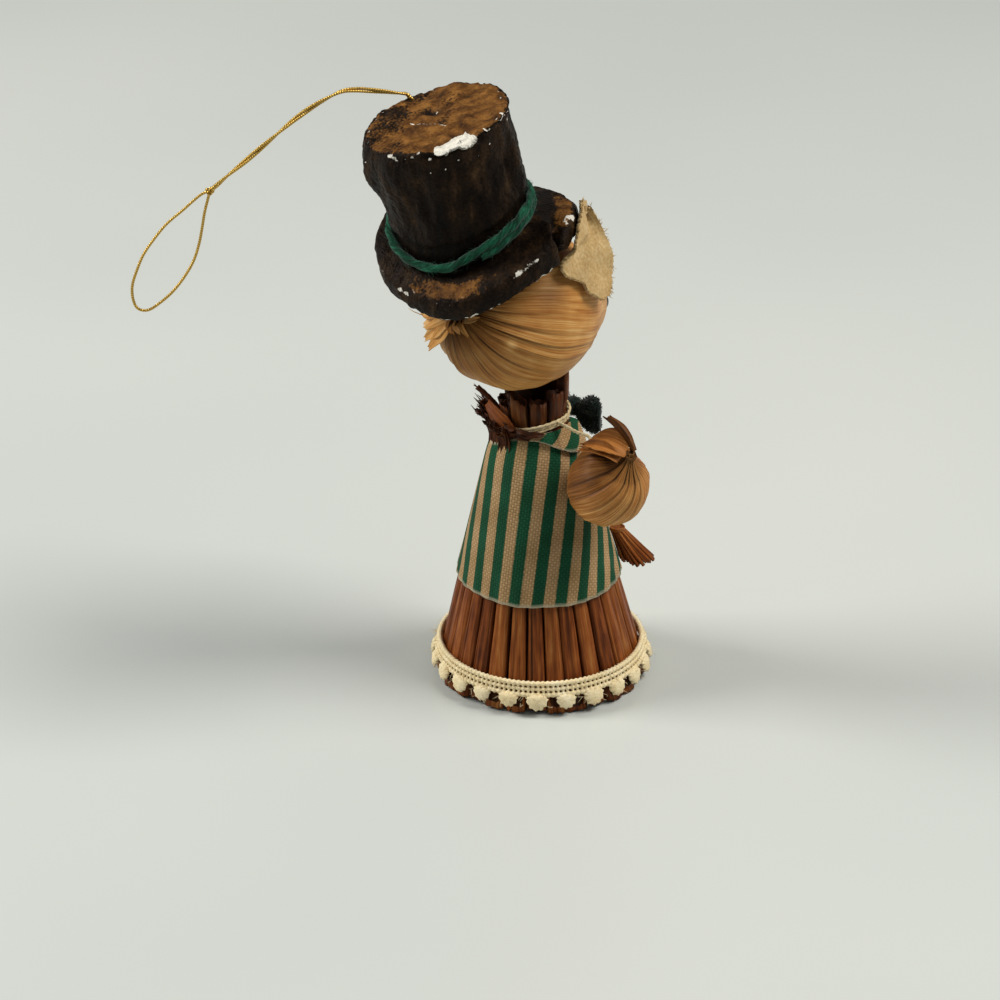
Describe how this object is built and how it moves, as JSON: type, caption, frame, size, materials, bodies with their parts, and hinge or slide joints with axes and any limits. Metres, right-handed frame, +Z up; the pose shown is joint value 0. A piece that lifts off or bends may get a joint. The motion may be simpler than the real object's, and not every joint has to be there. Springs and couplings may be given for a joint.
{
  "type": "straw mouse ornament",
  "caption": "Hanging or standing mouse figure of straw and corn husk in a striped smock and tilted top hat, with a sack at its side and a thread loop to hang it by.",
  "frame": {"origin": "middle of the flat base, on the surface that the figure stands on", "axes": "+Z up; the mouse faces -Y, so +X is its left"},
  "size_m": [0.0632, 0.0536, 0.0887],
  "materials": {
    "straw": "flattened dry straw",
    "wood": "plain dowel",
    "foam": "white foam",
    "striped_cotton": "green and tan striped cotton",
    "cotton_lace": "cream cotton lace",
    "cream_twine": "two-ply cotton twine",
    "dark_velvet": "very dark green velvet",
    "husk": "dry corn husk",
    "cream_felt": "cream felt",
    "black_bead": "glossy bead",
    "painted_foam": "brown-black paint, worn to ochre and white foam",
    "green_yarn": "green wool yarn",
    "gold_thread": "metallic gold thread"
  },
  "bodies": {
    "figure": {"long_straw_01": "straw", "short_straw_02": "straw", "short_straw_03": "straw", "long_straw_04": "straw", "short_straw_05": "straw", "short_straw_06": "straw", "long_straw_07": "straw", "short_straw_08": "straw", "short_straw_09": "straw", "long_straw_10": "straw", "short_straw_11": "straw", "short_straw_12": "straw", "long_straw_13": "straw", "short_straw_14": "straw", "short_straw_15": "straw", "long_straw_16": "straw", "short_straw_17": "straw", "short_straw_18": "straw", "long_straw_19": "straw", "short_straw_20": "straw", "short_straw_21": "straw", "long_straw_22": "straw", "short_straw_23": "straw", "short_straw_24": "straw", "long_straw_25": "straw", "short_straw_26": "straw", "short_straw_27": "straw", "long_straw_28": "straw", "short_straw_29": "straw", "short_straw_30": "straw", "straw_whisk": "straw", "neck_peg": "wood", "body_cone": "foam", "head_ball": "foam", "smock": "striped_cotton", "lace_trim": "cotton_lace", "neck_twine": "cream_twine", "bow_knot": "dark_velvet", "bow_loop_left": "dark_velvet", "bow_loop_right": "dark_velvet", "head_husk": "husk", "ear_left": "cream_felt", "ear_right": "cream_felt", "eye_left": "black_bead", "eye_right": "black_bead", "nose": "black_bead", "hat_brim": "painted_foam", "hat_crown": "painted_foam", "hat_band": "green_yarn"},
    "sack": {"sack_wrap": "husk", "sack_ball": "foam", "sack_tie": "cream_twine", "sack_leaf_front": "husk", "sack_leaf_back": "husk", "sack_cord": "cream_twine"},
    "hanger": {"hanger_stem": "gold_thread", "hanger_knot": "gold_thread", "hanger_loop": "gold_thread"}
  },
  "joints": [
    {"name": "hanger_swing", "type": "hinge", "parent": "figure", "child": "hanger", "pos_m": [0.01653, 0.00995, 0.08598], "axis": [0.7071, -0.7071, 0], "range_deg": [0, 130]},
    {"name": "sack_swing", "type": "hinge", "parent": "figure", "child": "sack", "pos_m": [-0.00574, 0.00113, 0.0403], "axis": [0, 1, 0], "range_deg": [0, 20]}
  ]
}
